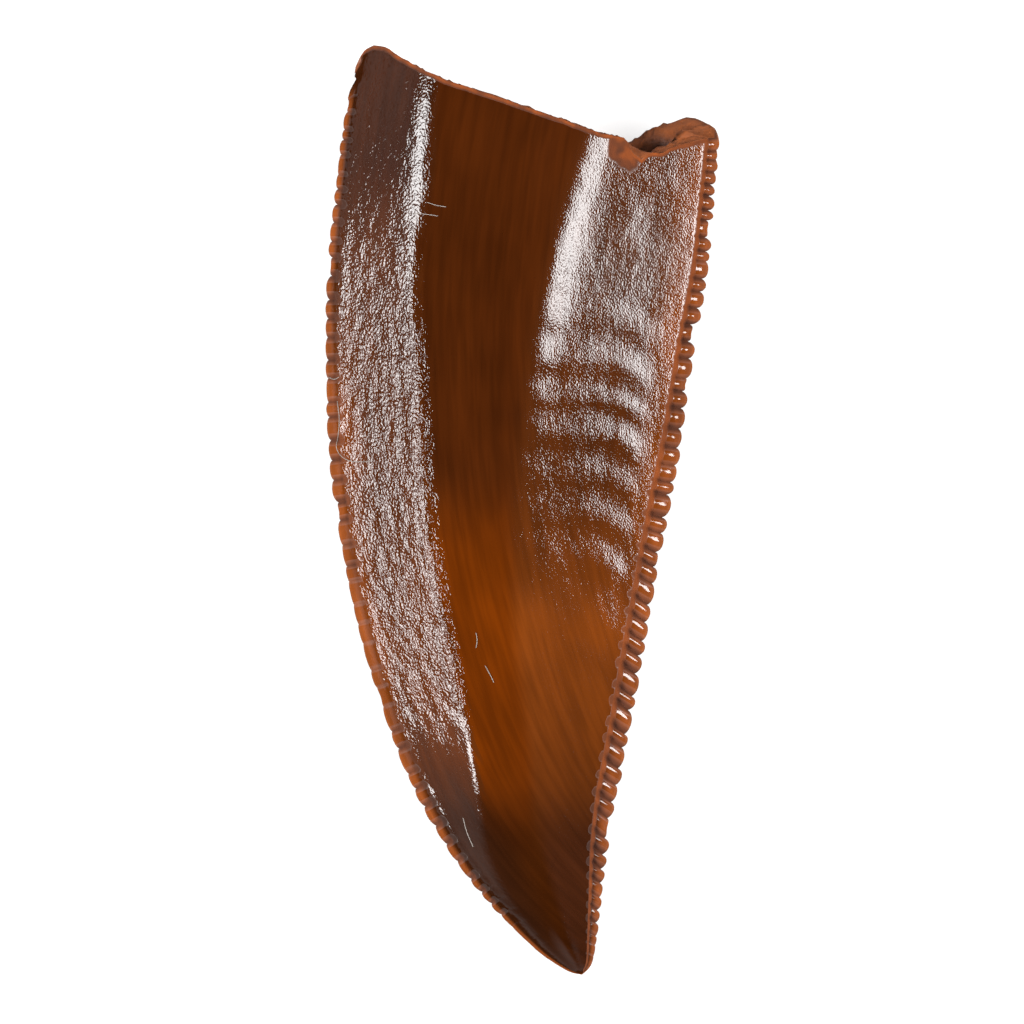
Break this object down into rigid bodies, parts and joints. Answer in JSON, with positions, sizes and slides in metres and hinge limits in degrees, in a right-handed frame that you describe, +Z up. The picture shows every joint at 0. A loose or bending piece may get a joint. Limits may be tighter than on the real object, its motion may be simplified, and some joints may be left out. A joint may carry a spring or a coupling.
{
  "type": "fossil dinosaur tooth",
  "caption": "Fossil tooth crown of a meat-eating dinosaur: a curved, flattened blade with saw-toothed edges, broken open at its base, lying on its side.",
  "frame": {"origin": "on the surface that the crown lies on, under the middle of its outline", "axes": "+Y from the apex towards the broken base, +X towards the distal (back) edge, +Z up from the resting side"},
  "size_m": [0.0118, 0.028, 0.0036],
  "materials": {
    "fossil_enamel": "glossy, finely grained brown enamel"
  },
  "bodies": {
    "root": {"tooth": "fossil_enamel"}
  },
  "joints": []
}
